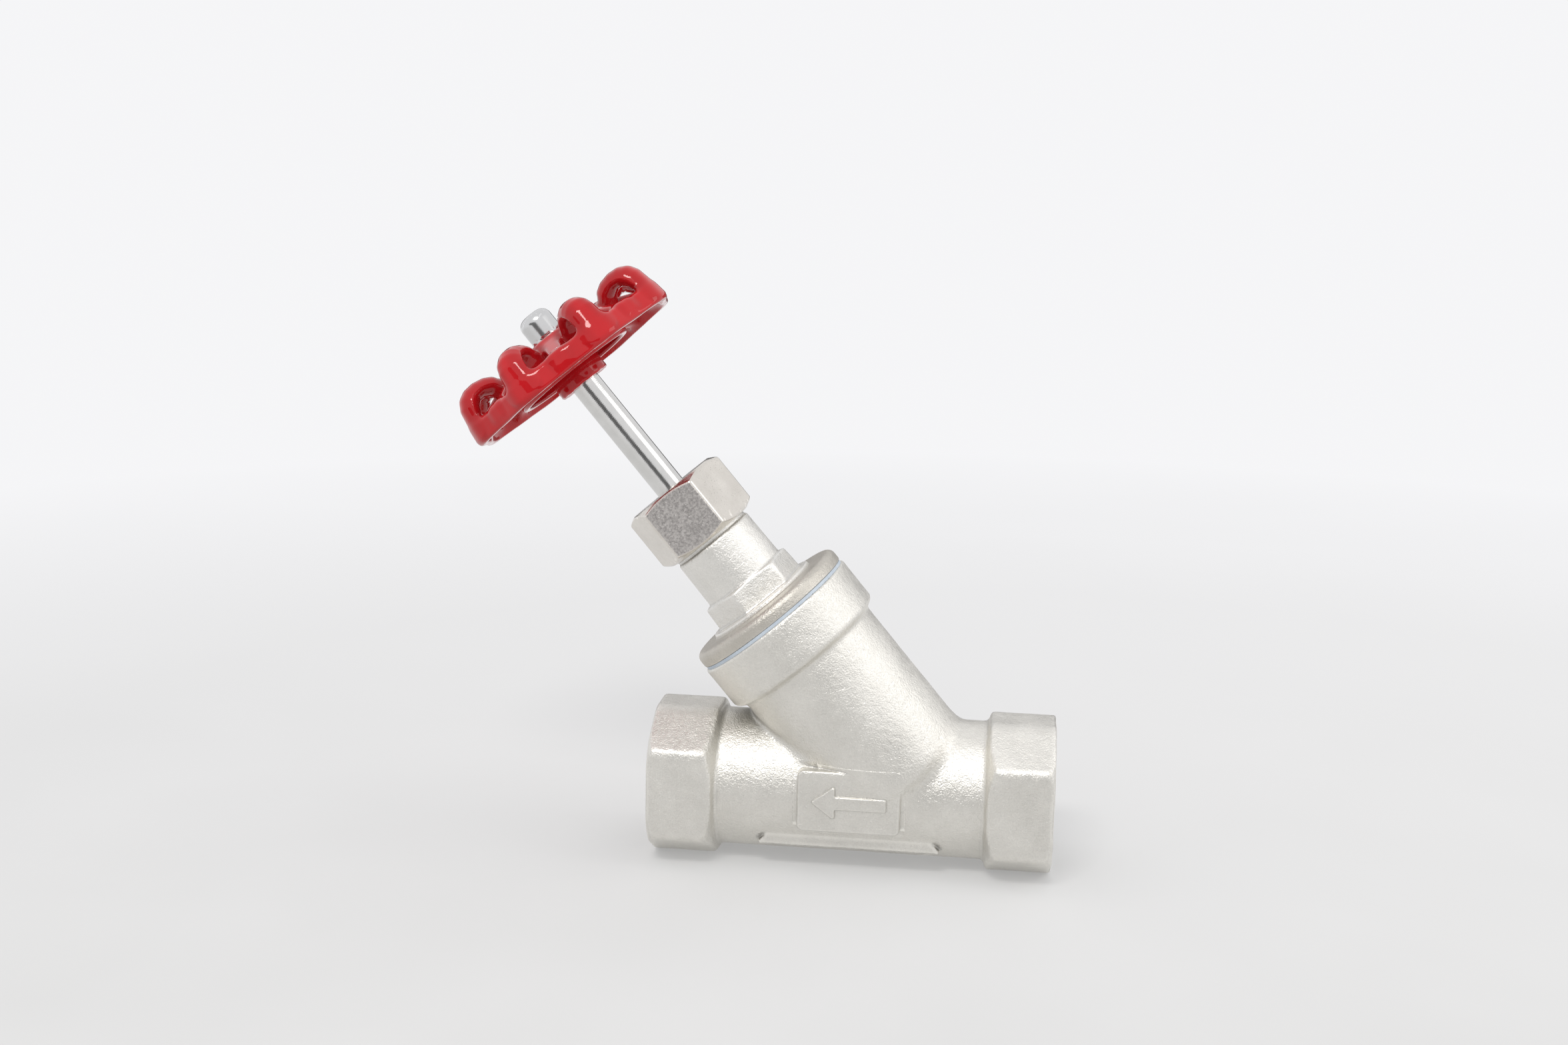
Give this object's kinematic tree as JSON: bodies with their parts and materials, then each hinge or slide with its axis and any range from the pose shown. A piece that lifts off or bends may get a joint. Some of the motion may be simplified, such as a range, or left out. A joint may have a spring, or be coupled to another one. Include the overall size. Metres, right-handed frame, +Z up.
{
  "type": "globe valve",
  "caption": "Y-pattern globe valve with female pipe threads in hexagon ends, a leaning barrel, screwed bonnet, gland nut, rising polished stem and a lobed red handwheel",
  "frame": {"origin": "centre of the inlet port's mouth, on the pipe axis", "axes": "+X points out of the inlet along the pipe, -X out of the outlet, +Z up; the stem leans over the outlet end, in the XZ plane"},
  "size_m": [0.1582, 0.0644, 0.1547],
  "materials": {
    "cast_stainless": "bead-blasted satin investment casting",
    "nickel_plate": "bright nickel, lightly pitted",
    "polished_steel": "polished",
    "red_enamel": "thick gloss enamel",
    "blue_fibre": "matt compressed fibre",
    "ptfe": "smooth white PTFE",
    "turned_steel": "turned"
  },
  "bodies": {
    "body": {"valve_body": "cast_stainless", "bonnet": "cast_stainless", "bonnet_gasket": "blue_fibre", "packing_washer": "turned_steel", "packing_bottom_adapter": "ptfe", "packing_v_ring_1": "ptfe", "packing_v_ring_2": "ptfe", "packing_v_ring_3": "ptfe", "packing_top_adapter": "ptfe", "gland_follower": "turned_steel", "gland_washer": "turned_steel", "gland_nut": "nickel_plate"},
    "disc": {"disc_holder": "turned_steel", "seal_disc": "ptfe", "disc_washer": "turned_steel", "disc_screw": "turned_steel", "disc_collar": "turned_steel", "disc_thrust_washer": "turned_steel"},
    "spindle": {"stem": "polished_steel", "handwheel": "red_enamel", "wheel_washer": "turned_steel", "dome_nut": "polished_steel"}
  },
  "joints": [
    {"name": "stem_lift", "type": "slide", "parent": "body", "child": "disc", "axis": [-0.6494, 0, 0.7604], "range_m": [-0.014, 0]},
    {"name": "handwheel_turn", "type": "hinge", "parent": "disc", "child": "spindle", "pos_m": [-0.11473, 0, 0.09125], "axis": [-0.6494, 0, 0.7604], "range_deg": [-2520, 0]}
  ],
  "couplings": [
    {"joint": "stem_lift", "follows": "handwheel_turn", "m_per_rad": 0.0003183}
  ]
}
